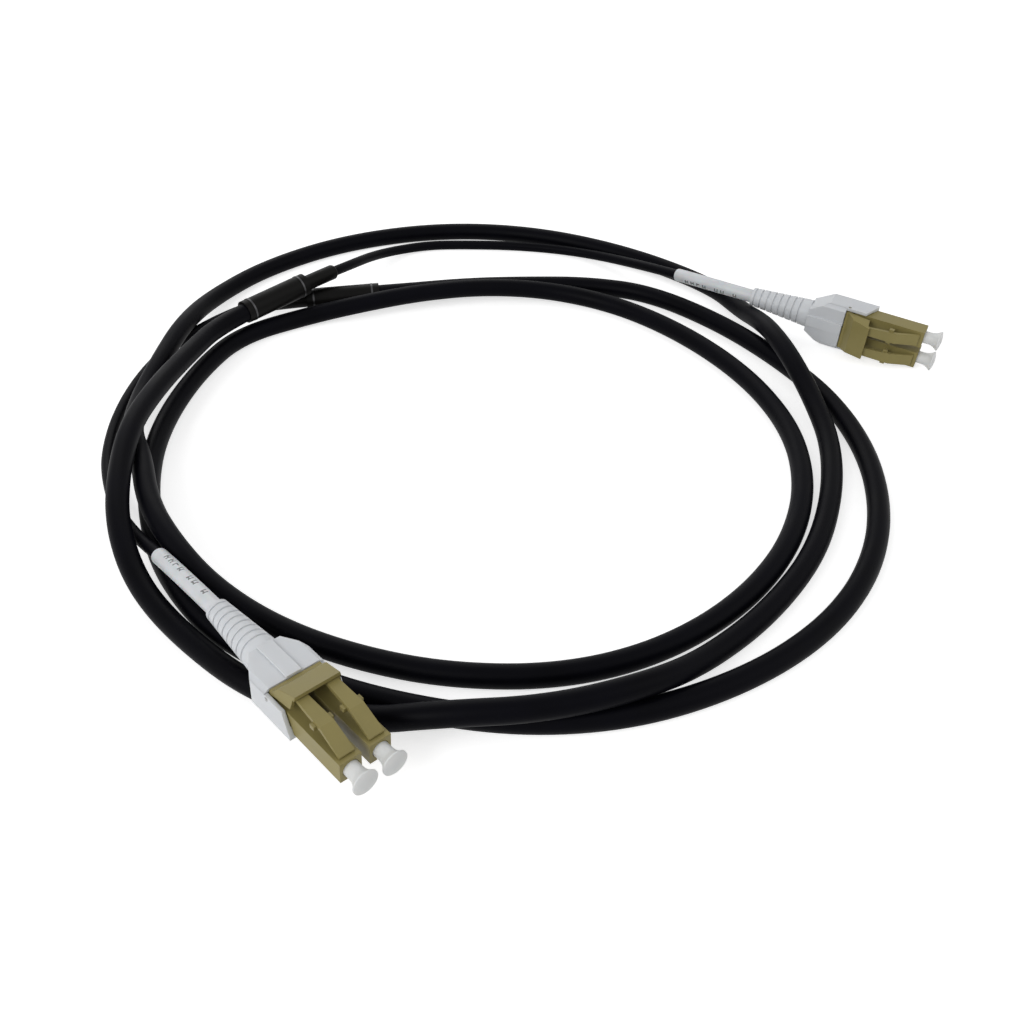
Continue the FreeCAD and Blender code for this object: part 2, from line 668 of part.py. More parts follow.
def make_cord(label, points, width):
    edges, radii = cord_edges(points)
    length = sum(edge.Length for edge in edges)
    print("%s: length %.1f, radii %s" % (label, length, " ".join("%.0f" % r for r in radii)))
    return add_shape(label, tube_along(edges, width)), edges


def make_sleeve(label, edges, bore, width):
    """Tube of the given bore and width round part of a cord."""
    return add_shape(label, tube_along(edges, width).cut(tube_along(edges, bore)))


def tube_ends(end):
    """Trunk end and lead end of a breakout tube, and its direction."""
    trunk_end, lead_end = [from_loops(spot) for spot in TUBE_ROUTE[end]]
    return trunk_end, lead_end, (lead_end - trunk_end).normalize()


def trunk_points():
    """Trunk from the socket of tube A, round the three loops, into the socket of tube B."""
    depth = plain("tube_trunk_depth")
    start, _, start_way = tube_ends("a")
    end, _, end_way = tube_ends("b")
    points = [start + start_way * depth, start - start_way * TRUNK_EXIT]
    points += [round_loops(*row) for row in TRUNK_ROUTE]
    points += [end - end_way * TRUNK_EXIT, end + end_way * depth]
    return points


def lead_points(end):
    """Lead from the socket of its breakout tube into the crimp ring of its plug."""
    _, exit_point, way = tube_ends(end)
    points = [exit_point - way * plain("tube_lead_depth"), exit_point + way * LEAD_EXIT]
    points += [from_loops(spot) for spot in LEAD_ROUTE[end]]
    place = plug_place(end)
    for name in ("label_corner", "lead_start"):
        points.append(place.multVec(FreeCAD.Vector(-plain(name), 0, 0)))
    return points


def make_fibre(label, end, side):
    """Fibre from the back of the ferrule to just in front of the lead."""
    spread = plain("fibre_spread") / 2
    middle = plain("plug_pitch") / 2
    start = plain("ferrule_set_back") + plain("ferrule_length")
    bend = plain("plug_length") + plain("spigot_length") + plain("stop_flange")
    bend += plain("fibre_bend_gap")
    merge = plain("ring_front") - plain("fibre_merge_gap")
    end_x = plain("lead_start") - plain("fibre_end_gap")
    spots = [(-start, middle), (-bend, middle), (-merge, spread), (-end_x, spread)]
    place = plug_place(end)
    points = [place.multVec(FreeCAD.Vector(x, side * y, 0)) for x, y in spots]
    edges, _ = cord_edges(points)
    return add_shape(label, tube_along(edges, plain("fibre_width")))


def make_breakout_tube(label, end):
    """Tube with a deep socket for the trunk, a shallow one for the small sleeve, two seats."""
    trunk_end, lead_end, way = tube_ends(end)
    length = (lead_end - trunk_end).Length
    body = new_body(label)
    outer = S.tube_width / 2
    seat = S.band_seat / 2
    trunk_socket = S.trunk_width / 2 + S.slide_fit
    sleeve_socket = S.sleeve_width / 2 + S.slide_fit
    first = S.band_set_back
    second = -S.band_set_back - S.band_length + length
    turn(body, "Revolution", [
        (0, 0), (0, outer), (first, outer), (first, seat), (first + S.band_length, seat),
        (first + S.band_length, outer), (second, outer), (second, seat),
        (second + S.band_length, seat), (second + S.band_length, outer),
        (length, outer), (length, 0)])
    turn(body, "Groove", [
        (-PAST, 0), (-PAST, trunk_socket), (S.tube_trunk_depth, trunk_socket),
        (S.tube_trunk_depth, 0)])
    inner_end = -S.tube_lead_depth + length
    turn(body, "Groove", [
        (inner_end, 0), (inner_end, sleeve_socket), (length + PAST, sleeve_socket), (length + PAST, 0)])
    body.Placement = FreeCAD.Placement(
        trunk_end, FreeCAD.Rotation(FreeCAD.Vector(1, 0, 0), way))
    return body


def make_band(label, end, at_lead_end):
    """Thin bright band seated in the groove near one end of a breakout tube."""
    trunk_end, lead_end, way = tube_ends(end)
    body = new_body(label)
    start = S.band_set_back
    if at_lead_end:
        start = -S.band_set_back - S.band_length + (lead_end - trunk_end).Length
    inner = S.band_seat / 2
    turn(body, "Revolution", [
        (start, inner), (start, S.band_width / 2),
        (start + S.band_length, S.band_width / 2), (start + S.band_length, inner)])
    body.Placement = FreeCAD.Placement(
        trunk_end, FreeCAD.Rotation(FreeCAD.Vector(1, 0, 0), way))
    return body


# --- the whole lead ----------------------------------------------------------------------

SIDES = {"left": 1, "right": -1}
pieces = []
for end in ("a", "b"):
    place = plug_place(end)
    for word, side in SIDES.items():
        here = side_place(end, side)
        tag = "_%s_%s" % (word, end)
        pieces += [
            make_housing("housing" + tag, here), make_latch("latch" + tag, here),
            make_ferrule("ferrule" + tag, here), make_holder("holder" + tag, here),
            make_spring("spring" + tag, here), make_stop("stop" + tag, here),
            make_dust_cap("dust_cap" + tag, here), make_fibre("fibre" + tag, end, side)]
    pieces += [
        make_trigger("trigger_" + end, place), make_shell_lower("shell_lower_" + end, place),
        make_shell_cover("shell_cover_" + end, place), make_boot("boot_" + end, place),
        make_crimp_ring("crimp_ring_" + end, place)]
    lead, lead_edges = make_cord("lead_" + end, lead_points(end), plain("lead_width"))
    bore = plain("lead_width") + plain("free_fit")
    pieces += [
        lead,
        make_sleeve("label_sleeve_" + end, lead_edges[-2:-1], bore, plain("label_width")),
        make_sleeve("small_sleeve_" + end, lead_edges[0:2], bore, plain("sleeve_width")),
        make_breakout_tube("breakout_tube_" + end, end),
        make_band("band_trunk_%s" % end, end, False), make_band("band_lead_%s" % end, end, True)]
trunk, _ = make_cord("trunk_cable", trunk_points(), plain("trunk_width"))
pieces.append(trunk)
doc.recompute()

for thing in doc.Objects:
    if "Invalid" in thing.State or "Error" in thing.State:
        raise RuntimeError("%s has failed" % thing.Label)
for piece in pieces:
    if piece.Shape.isNull() or not piece.Shape.isValid() or len(piece.Shape.Solids) != 1:
        raise RuntimeError("%s has no sound solid" % piece.Label)

os.makedirs("parts", exist_ok=True)
for piece in pieces:
    piece.Shape.exportStep(os.path.join("parts", piece.Label + ".step"))
print("%d pieces written" % len(pieces))
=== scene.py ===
"""Duplex fibre patch lead: cords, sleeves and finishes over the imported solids, stage and camera.

Every length is in metres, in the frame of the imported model.  The two ends of the lead are
a (the far plug) and b (the near one).
"""
import json
import math

import bpy
import numpy as np
from bpy.props import FloatProperty, FloatVectorProperty, IntProperty, PointerProperty
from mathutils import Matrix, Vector


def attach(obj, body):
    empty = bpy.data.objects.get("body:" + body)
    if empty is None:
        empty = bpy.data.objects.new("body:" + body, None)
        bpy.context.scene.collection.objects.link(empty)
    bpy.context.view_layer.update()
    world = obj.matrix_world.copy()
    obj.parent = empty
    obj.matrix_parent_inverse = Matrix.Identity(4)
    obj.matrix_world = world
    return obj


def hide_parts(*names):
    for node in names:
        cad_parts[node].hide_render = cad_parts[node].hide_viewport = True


bl_info = {
    "name": "Fibre patch lead",
    "version": (1, 0, 0),
    "blender": (4, 5, 0),
    "location": "View3D > Sidebar > Patch lead",
    "description": "Cords, sleeves, finishes and stage of a looped duplex fibre patch lead",
    "category": "Object",
}

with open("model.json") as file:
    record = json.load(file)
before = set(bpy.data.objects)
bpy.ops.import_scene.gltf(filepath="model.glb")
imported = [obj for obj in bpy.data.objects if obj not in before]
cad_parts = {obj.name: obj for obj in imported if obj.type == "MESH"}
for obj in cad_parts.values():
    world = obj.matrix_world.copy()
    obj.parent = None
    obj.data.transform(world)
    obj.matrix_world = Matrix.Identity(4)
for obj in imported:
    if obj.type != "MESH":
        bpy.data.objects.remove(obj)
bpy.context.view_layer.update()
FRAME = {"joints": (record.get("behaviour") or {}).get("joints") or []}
ENDS = ("a", "b")
ROOT = "patch_lead"
JOINTS = {joint["name"]: joint for joint in FRAME["joints"]}

# Routes of the cords about the middle of the loops.  Trunk: (degrees round, radius, height).
LOOPS_MIDDLE = Vector((-0.03463, 0.02249, 0.0))
TRUNK_ROUTE = [
    # first loop, from breakout tube a: rides over the others on the left side
    (160, 0.0814, 0.0098), (173, 0.0802, 0.0118), (186, 0.0816, 0.0131), (197, 0.0836, 0.0112),
    (207, 0.0862, 0.0088), (217, 0.0876, 0.0046), (228, 0.0876, 0.0025), (243, 0.0899, 0.0025),
    (256.5, 0.09, 0.0029), (266, 0.0898, 0.0074), (279, 0.0899, 0.008), (292, 0.0886, 0.0074),
    (302, 0.085, 0.0032), (315, 0.0834, 0.0025), (330, 0.083, 0.0025), (345, 0.0828, 0.0025),
    (359, 0.0841, 0.0025), (370, 0.0842, 0.0044), (380, 0.0845, 0.0081), (388, 0.0866, 0.0089),
    (394.5, 0.091, 0.0063), (401, 0.0966, 0.0025), (410, 0.1026, 0.0025), (427, 0.1078, 0.0025),
    (443, 0.1135, 0.0025), (458, 0.1165, 0.0025), (473, 0.1159, 0.0025), (487, 0.1123, 0.0025),
    (499, 0.1058, 0.0032),
    # second loop: over lead b, under the first loop, then over the third
    (509, 0.0972, 0.006), (519, 0.091, 0.0059), (530, 0.0884, 0.0039), (540, 0.0848, 0.0054),
    (550, 0.0794, 0.0081), (562, 0.0787, 0.0079), (573, 0.0776, 0.0072), (584, 0.0763, 0.0042),
    (597, 0.075, 0.0025), (611, 0.075, 0.0025), (626, 0.0762, 0.0025), (642, 0.078, 0.0025),
    (657, 0.0786, 0.0025), (673, 0.0781, 0.0025), (689, 0.0775, 0.0025), (705, 0.0768, 0.0025),
    (721, 0.076, 0.0025), (737, 0.0746, 0.0025), (753, 0.0739, 0.0025), (769, 0.0748, 0.0025),
    (783, 0.0765, 0.0025), (797, 0.076, 0.0034), (811, 0.0726, 0.0052), (825, 0.0716, 0.0053),
    (838, 0.0728, 0.0047), (850, 0.079, 0.0025),
    # third loop: flat on the floor, to breakout tube b
    (864, 0.0844, 0.0025), (877, 0.082, 0.0025), (892, 0.08, 0.0025), (906, 0.0792, 0.0025),
    (921, 0.0793, 0.0025), (936, 0.0811, 0.0025), (951, 0.0829, 0.0025), (966, 0.0832, 0.0025),
    (981, 0.0849, 0.0025), (997, 0.0886, 0.0025), (1012, 0.0915, 0.0025), (1028, 0.0936, 0.0025),
    (1043, 0.095, 0.0025), (1058, 0.0946, 0.0025), (1074, 0.0928, 0.0025), (1090, 0.0904, 0.0025),
    (1105, 0.0873, 0.0025), (1121, 0.0866, 0.0025), (1137, 0.0875, 0.0025), (1149, 0.0841, 0.0025),
    (1161, 0.0798, 0.0025), (1174, 0.078, 0.0026),
]
# Breakout tubes (trunk end, lead end) and leads: (east, north, height).
TUBE_ROUTE = {
    "a": [(-0.0664, 0.0517, 0.0086), (-0.0519, 0.0662, 0.0094)],
    "b": [(-0.0317, 0.0719, 0.0033), (-0.0523, 0.0684, 0.0033)],
}
LEAD_ROUTE = {
    "a": [(-0.0406, 0.0808, 0.008), (-0.0358, 0.0926, 0.0048), (-0.0292, 0.1018, 0.0022),
          (-0.019, 0.1069, 0.0014), (-0.007, 0.1072, 0.0014), (0.007, 0.1066, 0.0014),
          (0.021, 0.1042, 0.0014), (0.0335, 0.0984, 0.0022), (0.0465, 0.0852, 0.0054)],
    "b": [(-0.0696, 0.0664, 0.0019), (-0.0768, 0.0596, 0.0016), (-0.0832, 0.0514, 0.0014),
          (-0.088, 0.0416, 0.0014), (-0.091, 0.03, 0.0014), (-0.0922, 0.016, 0.0014),
          (-0.0914, 0.002, 0.0014), (-0.0884, -0.012, 0.0014), (-0.079, -0.032, 0.0033)],
}
TUBE_DEPTH = 0.008     # trunk inside a breakout tube
TRUNK_EXIT = 0.008     # straight stretch of trunk outside it
LEAD_DEPTH = 0.004     # lead inside a breakout tube
LEAD_EXIT = 0.006      # straight stretch of lead outside it
LABEL_CORNER = 0.060   # behind a plug's nose, where the lead bends in its label sleeve
LEAD_START = 0.034     # behind a plug's nose, where the lead ends in its crimp ring
BOOT_END = 0.0472      # behind a plug's nose
PIVOT_BACK = 0.0203    # the trigger's pivot, behind a plug's nose
PIVOT_UP = 0.002       # and above the plug's axis
SLEEVE_POINTS = 200    # points read from a lead under a sleeve
SLEEVE_RINGS = 60
SLEEVE_LIP = 0.0006    # radius of the short sleeves' rounded ends
LABEL_LIP = 0.00025    # and of the label sleeves'
SKIN_MAP = "UVMap"     # map of a sleeve: (distance along it, turn round it)

# Print on the label sleeves.  Strokes are (middle, half width) in shares of a cell.
PRINT_CELL = 0.0019    # length of a cell
PRINT_HALF = 0.055     # half the height of the row, in turns round the sleeve
PRINT_TURN = {"a": -0.055, "b": 0.27}   # where the row is centred, in turns
PRINTED_STRETCH = (0.0125, 0.0095)      # middle and half length of the row
FIRST_UPRIGHT = (0.17, 0.09)
SECOND_UPRIGHT = (0.58, 0.08)
LEVEL_STROKE = (0.36, 0.26)
BAR_SHARE = 0.3        # half thickness of a level stroke, as a share of PRINT_HALF
SINGLE_CELLS = 0.5     # share of cells without a second upright
EMPTY_CELLS = 0.25     # share of cells that are left bare
INK = (0.03, 0.03, 0.03)
INK_DEPTH = 0.8        # share of the ink's colour in a stroke

NOISE_LOW, NOISE_HIGH = 0.3, 0.7   # stretch that a noise mostly keeps to
EDGE_SAMPLES = 6
MIX_COLOURS = (6, 7)   # places of a mix node's two colours among its inputs
MIX_RESULT = 2         # and of its colour among its outputs

FLOOR_GREY = 0.8
FLOOR_LIFT = 0.65      # white that the floor adds to its lit colour where it is seen
WORLD_LIGHT = 0.34     # strength of the surroundings as light
LAMPS = [              # name, place, width, power
    ("key", (-0.60, -0.62, 0.55), 0.6, 4.5),
    ("fill", (0.7, -0.2, 0.6), 0.8, 1.7),
    ("back", (-0.3, 0.9, 0.6), 0.7, 2.3),
]


class LeadSizes(bpy.types.PropertyGroup):
    """Sizes of the cords and sleeves"""

    trunk_width: FloatProperty(
        name="Trunk width", description="Diameter of the trunk cable",
        default=0.005, min=0.001, unit="LENGTH", precision=4)
    lead_width: FloatProperty(
        name="Lead width", description="Diameter of the thin leads",
        default=0.0028, min=0.001, unit="LENGTH", precision=4)
    label_width: FloatProperty(
        name="Label width", description="Diameter of the label sleeves",
        default=0.0036, min=0.001, unit="LENGTH", precision=4)
    label_length: FloatProperty(
        name="Label length", description="Length of the label sleeves along the lead",
        default=0.0245, min=0.001, unit="LENGTH", precision=4)
    sleeve_width: FloatProperty(
        name="Sleeve width", description="Diameter of the short sleeves at the breakout tubes",
        default=0.0042, min=0.001, unit="LENGTH", precision=4)
    sleeve_length: FloatProperty(
        name="Sleeve length", description="Length of the short sleeves along the lead",
        default=0.0150, min=0.001, unit="LENGTH", precision=4)
    sides: IntProperty(
        name="Sides", description="Points round a sleeve", default=40, min=8)


class LeadColours(bpy.types.PropertyGroup):
    """Colours of the finishes"""

    jacket: FloatVectorProperty(
        name="Jacket", description="Colour of the cable jackets",
        default=(0.0014, 0.0014, 0.0026), subtype="COLOR", min=0, max=1)
    tube: FloatVectorProperty(
        name="Tube", description="Colour of the breakout tubes and short sleeves",
        default=(0.0024, 0.0022, 0.0020), subtype="COLOR", min=0, max=1)
    plug: FloatVectorProperty(
        name="Plug", description="Colour of the plugs, latches and triggers",
        default=(0.265, 0.223, 0.080), subtype="COLOR", min=0, max=1)
    nylon: FloatVectorProperty(
        name="Nylon", description="Colour of the shells and boots",
        default=(0.70, 0.72, 0.745), subtype="COLOR", min=0, max=1)
    cap: FloatVectorProperty(
        name="Cap", description="Colour of the dust caps",
        default=(0.76, 0.77, 0.765), subtype="COLOR", min=0, max=1)
    label: FloatVectorProperty(
        name="Label", description="Colour of the label sleeves",
        default=(0.68, 0.70, 0.72), subtype="COLOR", min=0, max=1)


class StageSettings(bpy.types.PropertyGroup):
    """Camera and lamps"""

    camera_place: FloatVectorProperty(
        name="Camera", description="Place of the camera",
        default=(-0.02763, -0.19831, 0.1625), subtype="TRANSLATION", unit="LENGTH")
    camera_dip: FloatProperty(
        name="Camera dip", description="Angle of the view below level",
        default=math.radians(39.55), subtype="ANGLE", unit="ROTATION")
    camera_lens: FloatProperty(
        name="Lens", description="Focal length for a sensor 36 mm wide",
        default=39.456, subtype="DISTANCE_CAMERA", unit="CAMERA")
    floor_size: FloatProperty(
        name="Floor", description="Width of the floor", default=6.0, unit="LENGTH")


# --- frames and paths -----------------------------------------------------------------

def plug_point(end, back):
    """The point `back` metres behind a plug's nose on its axis.

    It is found from the trigger's pivot and axis and from the way the caps pull off.
    """
    pivot = JOINTS["trigger_press_" + end]
    forward = Vector(JOINTS["cap_pull_left_" + end]["axis"])
    left = Vector(pivot["axis"])
    above = forward.cross(left)
    return Vector(pivot["pos_m"]) + forward * (PIVOT_BACK - back) - above * PIVOT_UP


def round_loops(angle, radius, height):
    """A point on a circle about the loops' middle: (r cos t, r sin t, height)."""
    turned = math.radians(angle)
    return LOOPS_MIDDLE + Vector((radius * math.cos(turned), radius * math.sin(turned), height))


def tube_ends(end):
    """A breakout tube's trunk end and lead end, and the unit way from one to the other."""
    trunk_end, lead_end = [LOOPS_MIDDLE + Vector(spot) for spot in TUBE_ROUTE[end]]
    return trunk_end, lead_end, (lead_end - trunk_end).normalized()


def trunk_points():
    """Control points of the trunk, straight for a stretch inside and outside each tube."""
    start, _, start_way = tube_ends("a")
    end, _, end_way = tube_ends("b")
    points = [start + start_way * TUBE_DEPTH, start - start_way * TRUNK_EXIT]
    points += [round_loops(*row) for row in TRUNK_ROUTE]
    points += [end - end_way * TRUNK_EXIT, end + end_way * TUBE_DEPTH]
    return points


def lead_points(end):
    """Control points of a lead, from inside its breakout tube to the plug's crimp ring."""
    _, leaving, way = tube_ends(end)
    points = [leaving - way * LEAD_DEPTH, leaving + way * LEAD_EXIT]
    points += [LOOPS_MIDDLE + Vector(spot) for spot in LEAD_ROUTE[end]]
    points += [plug_point(end, LABEL_CORNER), plug_point(end, LEAD_START)]
    return points


def shown(name, data):
    """New object of a mesh or curve, linked at the origin."""
    thing = bpy.data.objects.new(name, data)
    bpy.context.collection.objects.link(thing)
    return thing


def spline_object(name, points, width):
    """Cord as a smooth spline through its route's control points, with a round section."""
    curve = bpy.data.curves.new(name, "CURVE")
    curve.dimensions = "3D"
    curve.resolution_u = 10
    curve.bevel_depth = width / 2
    curve.bevel_resolution = 8
    curve.use_fill_caps = True
    spline = curve.splines.new("NURBS")
    spline.points.add(len(points) - 1)
    for control, place in zip(spline.points, points):
        control.co = (*place, 1.0)
    spline.order_u = 3
    spline.use_endpoint_u = True
    return shown(name, curve)


def centreline(cord):
    """Points along a cord's spline, read from it with its section taken away."""
    bare = cord.data.copy()
    bare.bevel_depth = 0.0
    carrier = shown("centreline", bare)
    depsgraph = bpy.context.evaluated_depsgraph_get()
    mesh = bpy.data.meshes.new_from_object(carrier.evaluated_get(depsgraph))
    points = np.empty(len(mesh.vertices) * 3)
    mesh.vertices.foreach_get("co", points)
    bpy.data.objects.remove(carrier)
    bpy.data.curves.remove(bare)
    bpy.data.meshes.remove(mesh)
    return points.reshape(-1, 3)


def along(path):
    """Distance of each point of a path from its start: the running sum of the steps."""
    return np.concatenate([[0.0], np.cumsum(np.linalg.norm(np.diff(path, axis=0), axis=1))])


def stretch(path, start, end, count):
    """Evenly spaced points of a path between two distances along it."""
    distance = along(path)
    wanted = np.linspace(start, end, count)
    return np.stack([np.interp(wanted, distance, path[:, axis]) for axis in range(3)], axis=1)


def read(items, word):
    """A whole number of every item of a mesh's collection, as an array."""
    values = np.empty(len(items), dtype=np.int64)
    items.foreach_get(word, values)
    return values


def map_skin(mesh, distances, turns):
    """Map (distance, turn) of a tube's vertices, laid on its faces' corners.

    In a face that closes the ring, the corners at the start of the turn get turn + 1.
    """
    corners = read(mesh.loops, "vertex_index")
    across = turns[corners]
    face = np.repeat(np.arange(len(mesh.polygons)), read(mesh.polygons, "loop_total"))
    widest = np.zeros(len(mesh.polygons))
    np.maximum.at(widest, face, across)
    closing = (across < 0.25) & (widest[face] > 0.75)
    layer = mesh.uv_layers.new(name=SKIN_MAP)
    layer.data.foreach_set(
        "uv", np.stack([distances[corners], across + closing], axis=-1).ravel())


def tube_object(name, path, radii, sides):
    """Closed round skin along a path.

    Ring i, point j lies at path_i + radii_i (cos t_j * side_i + sin t_j * top_i), where
    side is the level direction across the path and top is square to both.  A pole closes
    each end.  The map holds (distance along the path, turn).
    """
    run = np.gradient(path, axis=0)
    run /= np.linalg.norm(run, axis=1)[:, None]
    side = np.cross(run, (0.0, 0.0, 1.0))
    side /= np.linalg.norm(side, axis=1)[:, None]
    top = np.cross(side, run)
    turn = np.linspace(0.0, 2 * math.pi, sides, endpoint=False)
    ring = (np.cos(turn)[None, :, None] * side[:, None, :]
            + np.sin(turn)[None, :, None] * top[:, None, :])
    rings = path[:, None, :] + radii[:, None, None] * ring
    count = len(path)
    points = np.concatenate([rings.reshape(-1, 3), path[:1], path[-1:]])
    row, column = np.meshgrid(np.arange(count - 1), np.arange(sides), indexing="ij")
    beside = (column + 1) % sides
    quads = np.stack([row * sides + column, row * sides + beside,
                      (row + 1) * sides + beside, (row + 1) * sides + column], axis=-1)
    spokes = np.arange(sides)
    last = (count - 1) * sides
    first_pole = np.stack([np.full(sides, count * sides), (spokes + 1) % sides, spokes], axis=-1)
    last_pole = np.stack([np.full(sides, count * sides + 1), last + spokes,
                          last + (spokes + 1) % sides], axis=-1)
    faces = quads.reshape(-1, 4).tolist() + first_pole.tolist() + last_pole.tolist()
    mesh = bpy.data.meshes.new(name)
    mesh.from_pydata(points.tolist(), [], faces)
    distance = along(path)
    distances = np.concatenate([np.repeat(distance, sides), [0.0, distance[-1]]])
    turns = np.concatenate([np.tile(turn / (2 * math.pi), count), [0.0, 0.0]])
    map_skin(mesh, distances, turns)
    mesh.shade_smooth()
    return shown(name, mesh)


def rounded_radii(distance, radius, lip):
    """Radius along a sleeve: full, and falling by a quarter circle of `lip` at both ends."""
    reach = np.minimum(distance, distance[-1] - distance)
    inside = np.clip(1.0 - reach / lip, 0.0, 1.0)
    return radius - lip * (1.0 - np.sqrt(1.0 - inside ** 2))


# --- finishes -------------------------------------------------------------------------

class Finish:
    """A material under construction: its node tree, its shader and short ways to add nodes."""

    def __init__(self, name):
        self.material = bpy.data.materials.new(name)
        self.material.use_nodes = True
        self.tree = self.material.node_tree
        self.shader = self.tree.nodes["Principled BSDF"]
        self.place = self.add("ShaderNodeTexCoord").outputs["Object"]

    def add(self, kind, **values):
        node = self.tree.nodes.new(kind)
        for word, value in values.items():
            setattr(node, word, value)
        return node

    def join(self, out, into):
        self.tree.links.new(out, into)

    def set(self, **values):
        for word, value in values.items():
            self.shader.inputs[word.replace("_", " ")].default_value = value

    def noise(self, scale, detail=3.0):
        """Noise over the object's own coordinates, `scale` cells to the metre."""
        node = self.add("ShaderNodeTexNoise")
        node.inputs["Scale"].default_value = scale
        node.inputs["Detail"].default_value = detail
        self.join(self.place, node.inputs["Vector"])
        return node.outputs["Fac"]

    def ranged(self, noise, low, high):
        """The stretch that a noise mostly keeps to, spread over low to high."""
        node = self.add("ShaderNodeMapRange")
        node.inputs["From Min"].default_value = NOISE_LOW
        node.inputs["From Max"].default_value = NOISE_HIGH
        node.inputs["To Min"].default_value = low
        node.inputs["To Max"].default_value = high
        self.join(noise, node.inputs["Value"])
        return node.outputs["Result"]

    def tinted(self, noise, colour, dark, light):
        """A colour that a noise takes from `dark` to `light` times itself."""
        return self.mixed(self.ranged(noise, 0.0, 1.0), shade(colour, dark),
                          shade(colour, light))

    def base(self, colour):
        self.join(colour, self.shader.inputs["Base Color"])

    def rough(self, noise, low, high):
        self.join(self.ranged(noise, low, high), self.shader.inputs["Roughness"])

    def math(self, operation, first, second=0.0, third=0.0):
        """Arithmetic on up to three values, each a number or a socket."""
        node = self.add("ShaderNodeMath", operation=operation)
        for socket, value in zip(node.inputs, (first, second, third)):
            if isinstance(value, (int, float)):
                socket.default_value = value
            else:
                self.join(value, socket)
        return node.outputs["Value"]

    def chance_part(self, chance, word):
        """One of the three numbers of a chance node's colour."""
        split = self.add("ShaderNodeSeparateColor")
        self.join(chance.outputs["Color"], split.inputs["Color"])
        return split.outputs[word]

    def mixed(self, share, first, second):
        """Blend of two colours by a share, each a tuple or a socket."""
        node = self.add("ShaderNodeMix", data_type="RGBA")
        self.join(share, node.inputs["Factor"])
        for place, colour in zip(MIX_COLOURS, (first, second)):
            if isinstance(colour, bpy.types.NodeSocket):
                self.join(colour, node.inputs[place])
            else:
                node.inputs[place].default_value = (*colour, 1.0)
        return node.outputs[MIX_RESULT]

    def bump(self, height, strength, distance, edge=0.0):
        """Surface relief, over edges softened by `edge` metres."""
        node = self.add("ShaderNodeBump")
        node.inputs["Strength"].default_value = strength
        node.inputs["Distance"].default_value = distance
        self.join(height, node.inputs["Height"])
        if edge:
            soft = self.add("ShaderNodeBevel", samples=EDGE_SAMPLES)
            soft.inputs["Radius"].default_value = edge
            self.join(soft.outputs["Normal"], node.inputs["Normal"])
        self.join(node.outputs["Normal"], self.shader.inputs["Normal"])


def shade(colour, factor):
    """A colour times a factor, held at full white."""
    return tuple(min(1.0, part * factor) for part in colour)


def jacket_finish(name, colour):
    """Extruded jacket: nearly black and satin, with a faint cloud and a fine grain."""
    finish = Finish(name)
    cloud = finish.noise(90.0, 4.0)
    grain = finish.noise(2600.0, 2.0)
    finish.base(finish.tinted(cloud, colour, 0.8, 1.5))
    finish.rough(cloud, 0.40, 0.52)
    finish.set(Specular_IOR_Level=0.04)
    finish.bump(grain, 0.25, 0.00004)
    return finish.material


def tube_finish(name, colour):
    """Shrunk rubbery tube: black and satin with a slightly uneven skin."""
    finish = Finish(name)
    cloud = finish.noise(420.0, 3.0)
    finish.base(finish.tinted(cloud, colour, 0.8, 1.6))
    finish.rough(cloud, 0.38, 0.5)
    finish.set(Specular_IOR_Level=0.08)
    finish.bump(cloud, 0.3, 0.0001)
    return finish.material


def moulded_finish(name, colour, roughness, spread, edge):
    """Start of a moulded finish: a faint flow cloud, spark grain and soft edges."""
    finish = Finish(name)
    cloud = finish.noise(160.0, 3.0)
    grain = finish.noise(9000.0, 2.0)
    finish.base(finish.tinted(cloud, colour, 1.0 - spread, 1.0 + spread))
    finish.rough(cloud, roughness - 0.05, roughness + 0.05)
    finish.set(Specular_IOR_Level=0.3)
    finish.bump(grain, 0.15, 0.00002, edge)
    return finish


def plastic_finish(name, colour, roughness, spread, edge):
    """Filled plastic, just as moulded."""
    return moulded_finish(name, colour, roughness, spread, edge).material


def milky_finish(name, colour, roughness, depth, edge):
    """Unfilled nylon or polyethylene: as moulded, with a little light under the skin."""
    finish = moulded_finish(name, colour, roughness, 0.02, edge)
    finish.set(Subsurface_Weight=0.5, Subsurface_Scale=depth)
    finish.shader.inputs["Subsurface Radius"].default_value = (1.0, 0.95, 0.9)
    return finish.material


